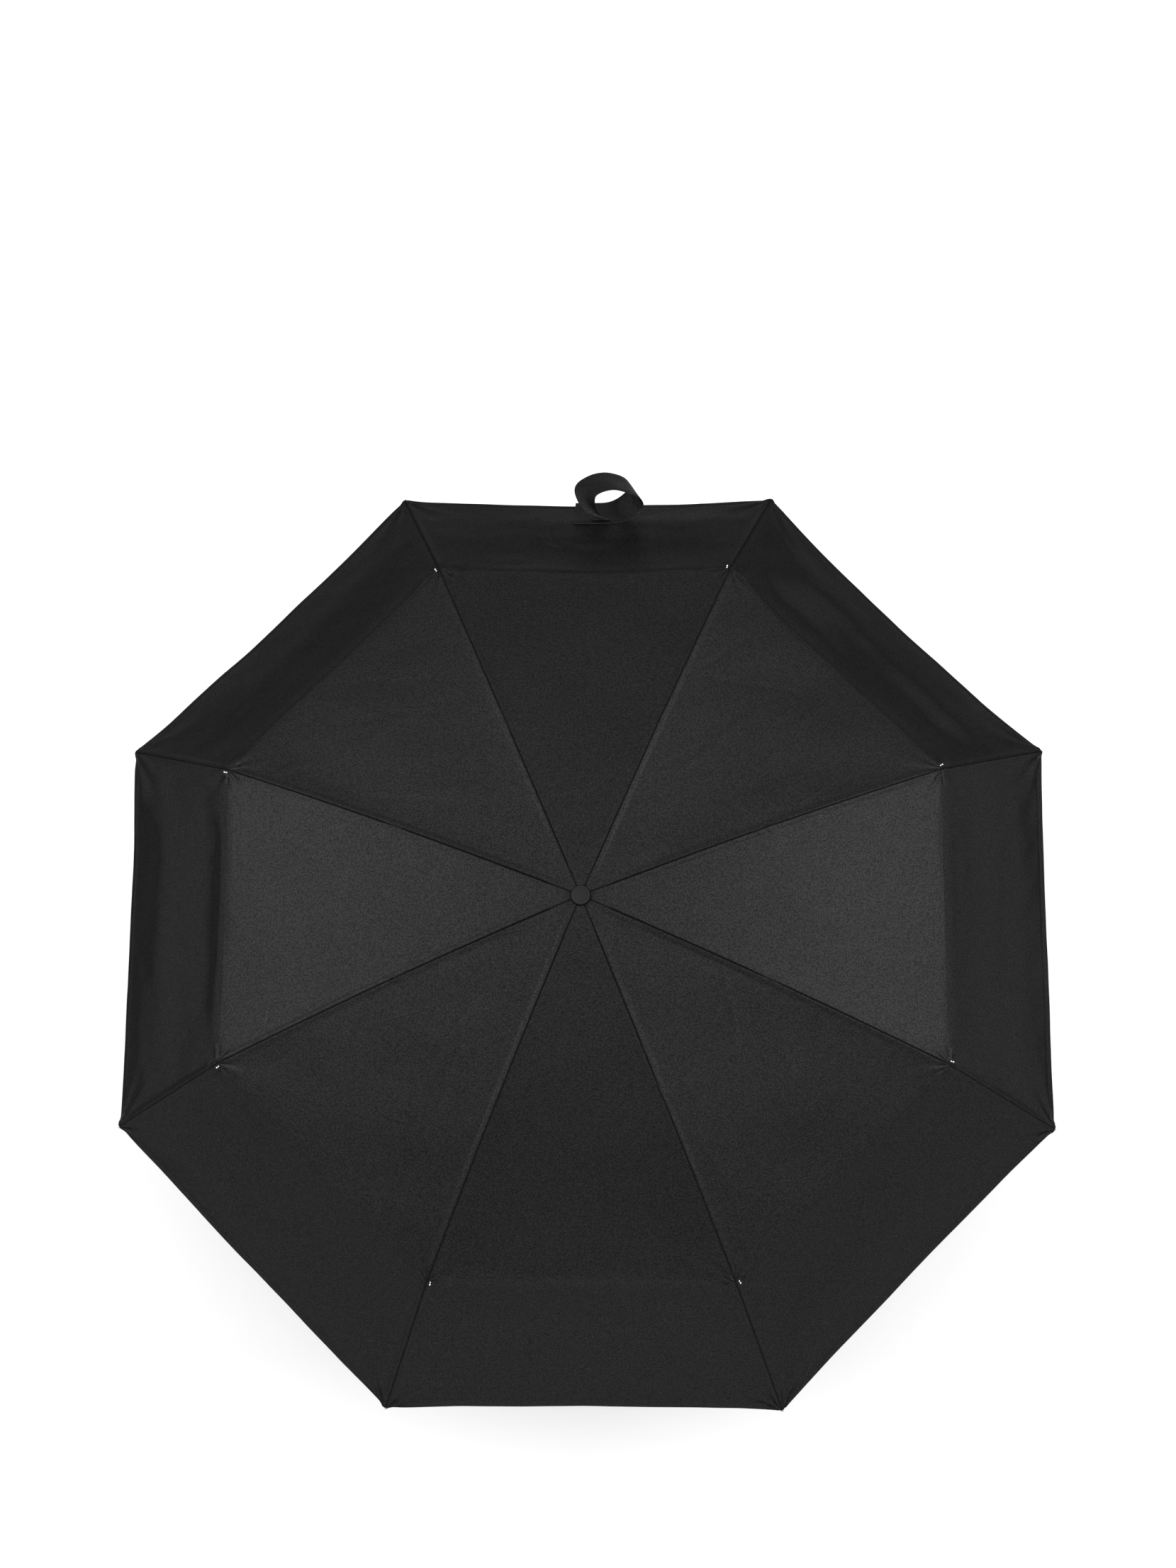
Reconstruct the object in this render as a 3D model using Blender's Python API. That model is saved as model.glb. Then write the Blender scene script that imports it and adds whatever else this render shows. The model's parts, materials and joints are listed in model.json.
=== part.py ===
"""A three-fold compact umbrella, open and with its shaft pulled out.

Lengths in this file are millimetres and angles are degrees; new_mesh() turns lengths into metres.
+Z runs up the shaft and the origin is the middle of the handle's flat end. The eight rib chains
stand at 22.5 degrees and every 45 degrees from there, so two opposite canopy edges face +Y and -Y.

A rib chain is drawn in its own upright plane: x along the rib, z away from it on the cloth's side,
y along its hinge pins. Each piece of the chain is modelled once, lying along +X with its inner
hinge at the origin, and eight objects share the mesh.
"""

import math

import bmesh
import bpy
from mathutils import Matrix, Vector

MM = 0.001

# Whole object
TOP = 545.0
RIB_COUNT = 8
FIRST_RIB = 22.5
RIB_STEP = 360.0 / RIB_COUNT

# Rib chain: lengths between hinges, and each piece's slope below the horizontal when open
PIVOT_RADIUS = 10.0
TOP_RIB_LENGTH = 176.0
MID_RIB_LENGTH = 190.0
OUTER_RIB_LENGTH = 178.0
STRETCHER_LENGTH = 85.0
TOP_SLOPE = 11.0
MID_SLOPE = 19.0
OUTER_SLOPE = 43.5

# Heights above each rib's own hinge line
TOP_RIB_LOW, TOP_RIB_HIGH = 1.9, 5.5
KNEE_HEIGHT = 5.55
MID_RIB_LOW, MID_RIB_HIGH = -3.35, -0.35
ELBOW_HEIGHT = -3.55
OUTER_RIB_LOW, OUTER_RIB_HIGH = 0.3, 2.7
STRETCHER_HALF = 1.5

# Sheet-metal channels, and the eyes and pins of their hinges
TOP_RIB_HALF_WIDTH = 2.0
CHANNEL_HALF_WIDTH = 1.7
OUTER_HALF_WIDTH = 1.6
WALL = 0.6
LIP = 0.05
BLADE_HALF = 0.8
EYE_RADIUS = 1.5
EYE_HOLE = 0.9
PIN_RADIUS = 0.55
RIVET_HEAD_RADIUS = 0.95
RIVET_HEAD_OUT = 0.45
RING_EYE_RADIUS = 2.1
RING_EYE_HOLE = 0.75
END_GAP = 2.2
HUB_REACH = 6.0
BRACKET_LENGTH = 24.0
ROD_RADIUS = 1.2
ROD_HEIGHT = 1.5
TIP_RADIUS = 1.9
TIP_BORE = 1.5
TIP_LENGTH = 11.0

# Crown and runner, both pierced by eight slots and grooved for a wire ring
CAP_TOP = 9.4
HUB_RADIUS = 12.5
HUB_HALF = 3.6
SLOT_HALF_WIDTH = 1.2
SLOT_FLOOR_RADIUS = 7.4
SLOT_END = 2.6
GROOVE_HALF = 0.85
GROOVE_RADIUS = 9.1
RING_WIRE_RADIUS = 0.45
SOCKET_RADIUS = 5.8
SOCKET_NECK_RADIUS = 7.0

# Thumb button in the runner's sleeve, with heights from the runner's hinge line
BUTTON_LOW, BUTTON_HIGH = -17.5, -8.5
BUTTON_INNER, BUTTON_OUTER = 7.1, 9.3
BUTTON_HALF_WIDTH = 2.2
BUTTON_GAP = 0.35

# Shaft: three steel tubes, the widest at the crown
UPPER_RADIUS = 5.5
MIDDLE_RADIUS = 4.5
LOWER_RADIUS = 3.5
TUBE_WALL = 0.6
UPPER_TUBE_BELOW_PIVOT = 208.0
TUBE_OVERLAP = 20.0
MIDDLE_TUBE_LENGTH = 161.5

# Handle
HANDLE_TOP = 50.0
HANDLE_RADIUS = 15.0
END_CAP_THICKNESS = 3.0
COLLAR_HEIGHT = 3.0

# Cloth
CLOTH = 0.6
CLOTH_HOLE = 4.5
CLOTH_SEAT = 5.1
GORE_STEPS = 4
SAG_SHARE = 0.012
STRAP_THICKNESS = 1.2
TAPE_THICKNESS = 0.9

ROUND = 32


def rotate(angle, x, z):
    """(outward, up) of a point given in the frame of a rib that slopes down by angle."""
    a = math.radians(angle)
    return x * math.cos(a) + z * math.sin(a), -x * math.sin(a) + z * math.cos(a)


def step(start, angle, x, z):
    out, up = rotate(angle, x, z)
    return start[0] + out, start[1] + up


# Hinges of an open rib chain, as (radius, height)
CROWN_HINGE = (PIVOT_RADIUS, TOP - CAP_TOP)
KNEE_HINGE = step(CROWN_HINGE, TOP_SLOPE, TOP_RIB_LENGTH, KNEE_HEIGHT)
ELBOW_HINGE = step(KNEE_HINGE, MID_SLOPE, MID_RIB_LENGTH, ELBOW_HEIGHT)
STRETCHER_HINGE = step(CROWN_HINGE, TOP_SLOPE, STRETCHER_LENGTH, 0.0)
RUNNER_DROP = 2.0 * STRETCHER_LENGTH * math.sin(math.radians(TOP_SLOPE))
RUNNER_HINGE = (PIVOT_RADIUS, CROWN_HINGE[1] - RUNNER_DROP)

UPPER_TUBE_BOTTOM = CROWN_HINGE[1] - UPPER_TUBE_BELOW_PIVOT
MIDDLE_TUBE_TOP = UPPER_TUBE_BOTTOM + TUBE_OVERLAP
MIDDLE_TUBE_BOTTOM = MIDDLE_TUBE_TOP - MIDDLE_TUBE_LENGTH
LOWER_TUBE_TOP = MIDDLE_TUBE_BOTTOM + TUBE_OVERLAP


# Meshes


def new_mesh(name, corners, faces):
    """A mesh from corners in millimetres, with its faces turned outward."""
    bm = bmesh.new()
    verts = [bm.verts.new(Vector(c) * MM) for c in corners]
    for face in faces:
        bm.faces.new([verts[i] for i in face])
    bmesh.ops.recalc_face_normals(bm, faces=bm.faces)
    mesh = bpy.data.meshes.new(name)
    bm.to_mesh(mesh)
    bm.free()
    return mesh


def arc(centre, radius, start, end, steps):
    """Points of an arc in the (x, z) plane, from start to end degrees."""
    turns = [math.radians(start + (end - start) * i / steps) for i in range(steps + 1)]
    return [(centre[0] + radius * math.cos(t), centre[1] + radius * math.sin(t)) for t in turns]


def circle(centre, radius, steps=10):
    return arc(centre, radius, 0, 360, steps)[:-1]


def prism(outline, low, high, along="y"):
    """An outline pushed through from low to high: (x, z) along y, (y, z) along x, or (x, y) along z."""
    place = {
        "x": lambda a, b, t: (t, a, b),
        "y": lambda a, b, t: (a, t, b),
        "z": lambda a, b, t: (a, b, t),
    }[along]
    count = len(outline)
    corners = [place(a, b, t) for t in (low, high) for a, b in outline]
    sides = [(i, (i + 1) % count, (i + 1) % count + count, i + count) for i in range(count)]
    faces = [tuple(range(count)), tuple(range(count, 2 * count)), *sides]
    return new_mesh("prism", corners, faces)


def box(x, y, z):
    return prism([(x[0], y[0]), (x[1], y[0]), (x[1], y[1]), (x[0], y[1])], z[0], z[1], along="z")


def turned(profile, segments=ROUND, along="z"):
    """A closed (radius, height) outline turned about the Z axis, or about X with height along it."""
    corners = []
    rings = []
    for radius, height in profile:
        if radius == 0:
            rings.append([len(corners)] * segments)
            corners.append((0.0, 0.0, height))
            continue
        rings.append(list(range(len(corners), len(corners) + segments)))
        for i in range(segments):
            t = 2 * math.pi * i / segments
            corners.append((radius * math.cos(t), radius * math.sin(t), height))
    faces = []
    for k, ring in enumerate(rings):
        after = rings[(k + 1) % len(rings)]
        for i in range(segments):
            j = (i + 1) % segments
            face = list(dict.fromkeys((ring[i], ring[j], after[j], after[i])))
            if len(face) > 2:
                faces.append(face)
    if along == "x":
        corners = [(h, y, -x) for x, y, h in corners]
    return new_mesh("turned", corners, faces)


def moved(mesh, x=0.0, y=0.0, z=0.0):
    mesh.transform(Matrix.Translation(Vector((x, y, z)) * MM))
    return mesh


def combined(base, tools, operation):
    """The mesh left when each tool is joined to base, or cut from it."""
    holder = bpy.data.objects.new("base", base)
    bpy.context.scene.collection.objects.link(holder)
    spare = [holder]
    for tool in tools:
        cutter = bpy.data.objects.new("tool", tool)
        bpy.context.scene.collection.objects.link(cutter)
        spare.append(cutter)
        modifier = holder.modifiers.new("boolean", "BOOLEAN")
        modifier.operation = operation
        modifier.solver = "EXACT"
        modifier.object = cutter
    bpy.context.view_layer.update()
    result = bpy.data.meshes.new_from_object(holder.evaluated_get(bpy.context.evaluated_depsgraph_get()))
    for thing in spare:
        bpy.data.objects.remove(thing)
    result.materials.clear()
    return result


def joined(base, *tools):
    return combined(base, tools, "UNION")


def cut(base, *tools):
    return combined(base, tools, "DIFFERENCE")


def rivet(x, z, half_width):
    """A pin across a fork, with a head outside each cheek."""
    inside = half_width - WALL / 2
    outside = half_width + RIVET_HEAD_OUT
    profile = [
        (0, -outside),
        (RIVET_HEAD_RADIUS, -outside),
        (RIVET_HEAD_RADIUS, -inside),
        (PIN_RADIUS, -inside),
        (PIN_RADIUS, inside),
        (RIVET_HEAD_RADIUS, inside),
        (RIVET_HEAD_RADIUS, outside),
        (0, outside),
    ]
    mesh = turned(profile, segments=6)
    mesh.transform(Matrix.Rotation(math.radians(90), 4, "X"))
    return moved(mesh, x, 0, z)


def cheeks(outline, half_width):
    """The two side walls of a channel, which share one outline."""
    return [
        prism(outline, half_width - WALL, half_width),
        prism(outline, -half_width, -half_width + WALL),
    ]


def web(x, z, half_width):
    """The channel's back, ending inside the thickness of its side walls."""
    return box(x, (-half_width + WALL / 3, half_width - WALL / 3), z)


# Rib chain


def top_rib():
    """Channel with an eye for the crown ring, a lug for the stretcher and a lug for the knee."""
    end = TOP_RIB_LENGTH - END_GAP
    low, high = TOP_RIB_LOW, TOP_RIB_HIGH
    side = [(HUB_REACH, low), (end, low), (end, high), (HUB_REACH, high)]
    left, right = cheeks(side, TOP_RIB_HALF_WIDTH)
    back = web((HUB_REACH + LIP, end - LIP), (high - WALL, high - LIP), TOP_RIB_HALF_WIDTH)
    inside = high - WALL / 2
    ring_eye = arc((0, 0), RING_EYE_RADIUS, 90, 320, 6)
    ring_eye += [(7.0, 1.5), (12.0, 2.4), (12.0, inside), (6.2, inside), (3.0, 2.3)]
    p = STRETCHER_LENGTH
    stretcher_lug = arc((p, 0), EYE_RADIUS, 180, 360, 5) + [(p + 3.0, inside), (p - 3.0, inside)]
    knee = (TOP_RIB_LENGTH, KNEE_HEIGHT)
    knee_lug = arc(knee, EYE_RADIUS, 190, -70, 6)
    knee_lug += [(knee[0], high - 3.0), (knee[0] - 7.0, high - 3.0), (knee[0] - 7.0, inside)]
    knee_lug += [(knee[0] - 1.6, inside)]
    blades = [prism(o, -BLADE_HALF, BLADE_HALF) for o in (ring_eye, stretcher_lug, knee_lug)]
    body = joined(left, right, back, *blades)
    holes = [((0, 0), RING_EYE_HOLE), ((p, 0), EYE_HOLE), (knee, EYE_HOLE)]
    return cut(body, *[prism(circle(at, r, 6), -1.2, 1.2) for at, r in holes])


def stretcher():
    """Channel from the top rib's lug, where it is forked, to an eye on the runner's ring."""
    half, length = STRETCHER_HALF, STRETCHER_LENGTH
    end = length - HUB_REACH
    side = arc((0, 0), half, 90, 270, 5) + [(end, -half), (end, half)]
    left, right = cheeks(side, CHANNEL_HALF_WIDTH)
    back = web((END_GAP + 0.2, end - LIP), (LIP - half, WALL - half), CHANNEL_HALF_WIDTH)
    inside = half - WALL / 2
    ring_eye = arc((length, 0), RING_EYE_RADIUS, -120, 120, 6)
    ring_eye += [(length - HUB_REACH, inside), (length - 12.0, inside), (length - 12.0, -inside)]
    ring_eye += [(length - HUB_REACH, -inside)]
    body = joined(left, right, back, prism(ring_eye, -BLADE_HALF, BLADE_HALF))
    body = joined(body, rivet(0, 0, CHANNEL_HALF_WIDTH))
    return cut(body, prism(circle((length, 0), RING_EYE_HOLE, 6), -1.2, 1.2))


def mid_rib():
    """Channel hung below the knee pin, with a lug below its outer end for the elbow."""
    low, high = MID_RIB_LOW, MID_RIB_HIGH
    end = MID_RIB_LENGTH - END_GAP
    side = arc((0, 0), EYE_RADIUS, 0, 250, 6)
    side += [(1.0, low + WALL / 2), (END_GAP, low), (end, low), (end, high), (1.9, high)]
    left, right = cheeks(side, CHANNEL_HALF_WIDTH)
    back = web((END_GAP + LIP, end - LIP), (high - WALL, high - LIP), CHANNEL_HALF_WIDTH)
    elbow = (MID_RIB_LENGTH, ELBOW_HEIGHT)
    inside = high - WALL / 2
    lug = arc(elbow, EYE_RADIUS, 160, 430, 6)
    lug += [(elbow[0] + 0.2, inside), (elbow[0] - 7.0, inside), (elbow[0] - 7.0, elbow[1] + 0.51)]
    body = joined(left, right, back, prism(lug, -BLADE_HALF, BLADE_HALF))
    body = joined(body, rivet(0, 0, CHANNEL_HALF_WIDTH))
    return cut(body, prism(circle(elbow, EYE_HOLE, 6), -1.2, 1.2))


def outer_rib():
    """A forked bracket on the elbow pin, holding the thin rod that reaches the canopy's tip."""
    low, high = OUTER_RIB_LOW, OUTER_RIB_HIGH
    side = arc((0, 0), EYE_RADIUS - 0.1, 110, 360, 6)
    side += [(1.9, low), (BRACKET_LENGTH, low), (BRACKET_LENGTH, high), (END_GAP, high), (1.0, high - 0.2)]
    left, right = cheeks(side, OUTER_HALF_WIDTH)
    back = web((END_GAP + LIP, BRACKET_LENGTH - LIP), (high - WALL, high - LIP), OUTER_HALF_WIDTH)
    rod_end = OUTER_RIB_LENGTH - 3.0
    rod = prism(circle((0, ROD_HEIGHT), ROD_RADIUS, 8), 8.0, rod_end, along="x")
    body = joined(left, right, back, rod)
    return joined(body, rivet(0, 0, OUTER_HALF_WIDTH))


def rib_tip():
    """Blind cup over the rod's end, with a rounded nose."""
    start, nose = OUTER_RIB_LENGTH - TIP_LENGTH, OUTER_RIB_LENGTH
    profile = [
        (TIP_BORE, start),
        (TIP_RADIUS - 0.15, start),
        (TIP_RADIUS, start + 0.4),
        (TIP_RADIUS, nose - 1.6),
        (TIP_RADIUS * 0.8, nose - 0.5),
        (0, nose),
        (0, nose - 2.4),
        (TIP_BORE, nose - 2.4),
    ]
    return moved(turned(profile, segments=10, along="x"), 0, 0, ROD_HEIGHT)


# Crown and runner


def slots(centre, bottom, top):
    """Cutters for the eight radial slots of a hub."""
    cutters = []
    for i in range(RIB_COUNT):
        slot = box((SLOT_FLOOR_RADIUS, HUB_RADIUS + 3), (-SLOT_HALF_WIDTH, SLOT_HALF_WIDTH),
                   (centre + bottom, centre + top))
        slot.transform(Matrix.Rotation(math.radians(rib_azimuth(i)), 4, "Z"))
        cutters.append(slot)
    return cutters


def grooved_rim(centre, direction):
    """The hub's rim from one face to the other, with the wire's groove in it."""
    points = [
        (HUB_RADIUS - 0.5, -HUB_HALF),
        (HUB_RADIUS, 0.5 - HUB_HALF),
        (HUB_RADIUS, -GROOVE_HALF),
        (GROOVE_RADIUS, -GROOVE_HALF),
        (GROOVE_RADIUS, GROOVE_HALF),
        (HUB_RADIUS, GROOVE_HALF),
        (HUB_RADIUS, HUB_HALF - 0.5),
        (HUB_RADIUS - 0.5, HUB_HALF),
    ]
    return [(r, centre + h) for r, h in points[::direction]]


def crown_notch():
    """Slotted hub on the upper tube's end, with a seat on top for the cloth."""
    z = CROWN_HINGE[1]
    profile = [(SOCKET_RADIUS, z - 14.0), (SOCKET_NECK_RADIUS, z - 14.0), (SOCKET_NECK_RADIUS, z - HUB_HALF)]
    profile += grooved_rim(z, 1)
    profile += [(8.2, z + HUB_HALF), (8.2, z + 4.8), (4.2, z + 4.8), (4.2, z + 2.4), (SOCKET_RADIUS, z + 2.4)]
    return cut(turned(profile), *slots(z, -HUB_HALF - 1.0, SLOT_END))


def runner():
    """Slotted hub with a long sleeve and a flared finger grip, sliding on the upper tube."""
    z = RUNNER_HINGE[1]
    grip = [(SOCKET_RADIUS, -27.0), (8.6, -27.0), (9.6, -26.0), (9.6, -23.0), (8.2, -20.0), (8.0, -9.0)]
    grip.append((8.0, -HUB_HALF))
    profile = [(r, z + h) for r, h in grip] + grooved_rim(z, 1) + [(SOCKET_RADIUS, z + HUB_HALF)]
    side = BUTTON_HALF_WIDTH + BUTTON_GAP
    low, high = z + BUTTON_LOW - BUTTON_GAP, z + BUTTON_HIGH + BUTTON_GAP
    window = box((SOCKET_RADIUS - 1, HUB_RADIUS), (-side, side), (low, high))
    return cut(turned(profile), window, *slots(z, -SLOT_END, HUB_HALF + 1.0))


def wire_ring(centre):
    """The wire that threads a hub's eight eyes."""
    return turned([(PIVOT_RADIUS + a, centre + b) for a, b in circle((0, 0), RING_WIRE_RADIUS, 5)])


def cap_washer():
    z = CROWN_HINGE[1]
    return turned([(4.2, z + 6.0), (9.1, z + 6.0), (9.1, z + 6.5), (4.2, z + 6.5)])


def crown_cap():
    """Flat button cap on a spigot that passes through the cloth into the crown."""
    z = CROWN_HINGE[1]
    profile = [(0, z + 3.0), (3.8, z + 3.0), (3.8, z + 6.8), (8.0, z + 6.8), (8.3, z + 7.2), (8.3, z + 8.6)]
    profile += [(7.7, CAP_TOP + z), (7.1, CAP_TOP + z), (6.7, z + 9.1), (0, z + 9.1)]
    return turned(profile)


# Shaft and handle


def tube(radius, bottom, top, segments=24):
    inner = radius - TUBE_WALL
    return turned([(inner, bottom), (radius, bottom), (radius, top), (inner, top)], segments)


def runner_button():
    """Thumb button in the sleeve's window, which frees the runner from the tube."""
    z = RUNNER_HINGE[1]
    low, high = z + BUTTON_LOW, z + BUTTON_HIGH
    outline = [(BUTTON_INNER, low), (BUTTON_OUTER - 0.6, low), (BUTTON_OUTER, low + 0.8)]
    outline += [(BUTTON_OUTER, high - 0.8), (BUTTON_OUTER - 0.6, high), (BUTTON_INNER, high)]
    return prism(outline, -BUTTON_HALF_WIDTH, BUTTON_HALF_WIDTH)


def handle():
    """Waisted grip with a socket for the lower tube and a recess for its end cap."""
    top, wide = HANDLE_TOP, HANDLE_RADIUS
    profile = [
        (3.8, 12.0), (3.8, top), (10.6, top), (12.0, top - 0.8), (12.8, top - 6.0), (14.0, 36.0),
        (wide, 22.0), (wide, 10.0), (14.6, 3.8), (14.2, 3.3), (12.0, 3.3), (12.0, 6.0), (9.0, 8.0),
        (9.0, 12.0),
    ]
    return turned(profile)


def handle_end_cap():
    """Flat disc that the umbrella can stand on, with a plug inside the handle."""
    profile = [(0, 0), (13.0, 0), (14.2, 1.2), (14.2, END_CAP_THICKNESS), (11.6, END_CAP_THICKNESS)]
    profile += [(11.6, 5.6), (9.6, 5.6), (9.6, END_CAP_THICKNESS + 0.2), (0, END_CAP_THICKNESS + 0.2)]
    return turned(profile)


def handle_collar():
    """Metal trim ring between the handle and the shaft."""
    low, high = HANDLE_TOP + 0.3, HANDLE_TOP + 0.3 + COLLAR_HEIGHT
    profile = [(3.8, low), (10.0, low), (10.3, low + 0.4), (9.8, high - 0.6), (9.0, high), (3.8, high)]
    return turned(profile)


# Cloth


def cloth_line(lift):
    """Rib-line points of the cloth as (radius, height, slope), lifted off its inner face by lift."""
    between = (TOP_SLOPE + MID_SLOPE) / 2
    fold = (MID_SLOPE + OUTER_SLOPE) / 2
    seat = CROWN_HINGE[1] + CLOTH_SEAT + lift
    shoulder = step(CROWN_HINGE, TOP_SLOPE, HUB_REACH, 6.2 + lift)
    knee = step(KNEE_HINGE, between, 0, 2.0 + lift)
    elbow = step(ELBOW_HINGE, fold, 0, 4.3 + lift)
    tip = step(ELBOW_HINGE, OUTER_SLOPE, OUTER_RIB_LENGTH - 4.0, 4.4 + lift)
    line = [(CLOTH_HOLE, seat, 0.0), (9.0, seat, 0.0), (*shoulder, TOP_SLOPE)]
    stretches = [
        (shoulder, knee, TOP_SLOPE, between),
        (knee, elbow, MID_SLOPE, fold),
        (elbow, tip, OUTER_SLOPE, OUTER_SLOPE),
    ]
    for start, end, slope, end_slope in stretches:
        for share in (1 / 3, 2 / 3, 1):
            r = start[0] + (end[0] - start[0]) * share
            z = start[1] + (end[1] - start[1]) * share
            line.append((r, z, end_slope if share == 1 else slope))
    return line


def cloth_point(level, gore, share):
    """A point of the cloth between rib gore (share 0) and the next (share 1), sagging between them."""
    r, z, slope = level
    ends = [math.radians(rib_azimuth(gore + k)) for k in (0, 1)]
    x = r * (math.cos(ends[0]) * (1 - share) + math.cos(ends[1]) * share)
    y = r * (math.sin(ends[0]) * (1 - share) + math.sin(ends[1]) * share)
    sag = 4 * share * (1 - share) * SAG_SHARE * r
    middle = (ends[0] + ends[1]) / 2
    inward, down = sag * math.sin(math.radians(slope)), sag * math.cos(math.radians(slope))
    return x - inward * math.cos(middle), y - inward * math.sin(middle), z - down


def canopy():
    """The cloth as one thin closed dome with a hole for the cap's spigot."""
    columns = [(gore, k / GORE_STEPS) for gore in range(RIB_COUNT) for k in range(GORE_STEPS)]
    line = cloth_line(0.0) + cloth_line(CLOTH)[::-1]
    corners = [cloth_point(level, *column) for level in line for column in columns]
    count = len(columns)
    faces = []
    for k in range(len(line)):
        after = (k + 1) % len(line)
        for i in range(count):
            j = (i + 1) % count
            faces.append((k * count + i, k * count + j, after * count + j, after * count + i))
    return new_mesh("canopy", corners, faces)


def strap_frame():
    """Axes of the hem panel that carries the strap: right, down the slope, and off the cloth."""
    line = cloth_line(CLOTH)
    hem = Vector(cloth_point(line[-1], 1, 0.5))
    above = Vector(cloth_point(line[-2], 1, 0.5))
    slope = (hem - above).normalized()
    right = Vector((1, 0, 0))
    return hem, right, slope, right.cross(slope)


def smooth_line(points, steps):
    """A Catmull-Rom curve through points."""
    out = []
    for i in range(len(points) - 1):
        a, b, c, d = (Vector(points[min(max(i + k, 0), len(points) - 1)]) for k in (-1, 0, 1, 2))
        for k in range(steps):
            t = k / steps
            out.append(0.5 * (2 * b + (c - a) * t + (2 * a - 5 * b + 4 * c - d) * t**2
                              + (3 * b - a - 3 * c + d) * t**3))
    return out + [Vector(points[-1])]


def ribbon(stations, thickness, steps):
    """A band between two edges, each given at stations as (right, off the cloth, up from the hem)."""
    hem, right, slope, off = strap_frame()
    edges = []
    for k in (0, 1):
        line = smooth_line([station[k] for station in stations], steps)
        edges.append([hem + right * p.x + off * p.y - slope * p.z for p in line])
    count = len(edges[0])
    shares = (0.0, 0.25, 0.5, 0.75, 1.0)
    corners = []
    for i in range(count):
        a, b = edges[0][i], edges[1][i]
        after, before = min(i + 1, count - 1), max(i - 1, 0)
        run = edges[0][after] + edges[1][after] - edges[0][before] - edges[1][before]
        lift = run.cross(b - a).normalized() * thickness / 2
        corners += [a.lerp(b, share) + lift for share in shares]
        corners += [a.lerp(b, share) - lift for share in shares[::-1]]
    ring = 2 * len(shares)
    faces = []
    for i in range(count - 1):
        for k in range(ring):
            j = (k + 1) % ring
            faces.append((i * ring + k, i * ring + j, (i + 1) * ring + j, (i + 1) * ring + k))
    for start in (0, (count - 1) * ring):
        faces += [(start + k, start + k + 1, start + ring - 2 - k, start + ring - 1 - k) for k in range(4)]
    return new_mesh("ribbon", corners, faces)


def tie_strap():
    """Closing strap: sewn flat on the hem, curled round, and twisted down to a narrower end.

    Each station gives the strap's edge on the hem side, then its edge on the crown side.
    """
    stations = [
        ((-12, 1.5, 1), (-14, 1.5, 54)),
        ((8, 1.5, 1), (7, 1.5, 54)),
        ((20, 2.2, 1), (25, 1.5, 53)),
        ((29, 5.5, 1), (38, 2.0, 50)),
        ((36, 10.5, 1), (48.5, 5.5, 47)),
        ((41, 16, 1), (55, 12, 46)),
        ((43, 21, 1), (57, 19, 46)),
        ((39, 27.5, 1), (52, 26.5, 46)),
        ((31, 32, 1), (41, 31, 46)),
        ((19, 34.5, 1), (29, 34, 46)),
        ((7, 33, 1), (20, 33, 46)),
        ((-4, 28, 1), (12.5, 30, 46)),
        ((-11, 22, 1), (9, 26, 45)),
        ((-13, 16.5, 6), (8.5, 20, 45)),
        ((-10, 11.5, 18), (10.5, 14, 46)),
        ((-4, 7.5, 32), (14.5, 9.5, 48)),
        ((1.5, 5.4, 42), (20, 6.0, 50)),
        ((7.5, 4.4, 51), (25, 4.4, 52.5)),
    ]
    return ribbon(stations, STRAP_THICKNESS, 3)


def strap_fastener():
    """Hook tape between the strap's end and its base."""
    stations = [
        ((4, 2.9, 44), (18.5, 2.9, 48.5)),
        ((8, 2.9, 50), (23.5, 2.9, 51)),
    ]
    return ribbon(stations, TAPE_THICKNESS, 2)


# Scene


def rib_azimuth(i):
    return FIRST_RIB + RIB_STEP * i


def clear_scene():
    for thing in list(bpy.data.objects):
        bpy.data.objects.remove(thing)


def material(name, colour, roughness, metallic=0.0):
    made = bpy.data.materials.new(name)
    made.use_nodes = True
    shader = made.node_tree.nodes["Principled BSDF"]
    shader.inputs["Base Color"].default_value = (*colour, 1.0)
    shader.inputs["Roughness"].default_value = roughness
    shader.inputs["Metallic"].default_value = metallic
    return made


def add(name, mesh, look, matrix=None, smooth=True):
    """An object under its node's name. Objects that share a mesh share its material."""
    if not mesh.materials:
        mesh.materials.append(look)
    if smooth:
        mesh.shade_smooth()
        mesh.set_sharp_from_angle(angle=math.radians(35))
    thing = bpy.data.objects.new(name, mesh)
    if matrix is not None:
        thing.matrix_world = matrix
    bpy.context.scene.collection.objects.link(thing)
    return thing


def hinge_empty(name, azimuth, hinge, slope):
    """An empty on a hinge's axis, turned to the piece that hangs on it."""
    empty = bpy.data.objects.new(name, None)
    place = Matrix.Translation(Vector((hinge[0], 0, hinge[1])) * MM)
    turn = Matrix.Rotation(math.radians(azimuth), 4, "Z")
    empty.matrix_world = turn @ place @ Matrix.Rotation(math.radians(slope), 4, "Y")
    bpy.context.scene.collection.objects.link(empty)
    return empty


def add_rib_chains(steel, metal):
    stretcher_slope = 180.0 - TOP_SLOPE
    outer_pieces = [("outer_rib", outer_rib(), steel), ("rib_tip", rib_tip(), metal)]
    chain = [
        ("top_rib", [("top_rib", top_rib(), steel)], CROWN_HINGE, TOP_SLOPE),
        ("stretcher", [("stretcher", stretcher(), steel)], STRETCHER_HINGE, stretcher_slope),
        ("mid_rib", [("mid_rib", mid_rib(), steel)], KNEE_HINGE, MID_SLOPE),
        ("outer_rib", outer_pieces, ELBOW_HINGE, OUTER_SLOPE),
    ]
    for i in range(RIB_COUNT):
        for joint, pieces, hinge, slope in chain:
            empty = hinge_empty(f"{joint}_{i + 1}_hinge", rib_azimuth(i), hinge, slope)
            for name, mesh, look in pieces:
                piece = add(f"{name}_{i + 1}", mesh, look)
                piece.parent = empty


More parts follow.
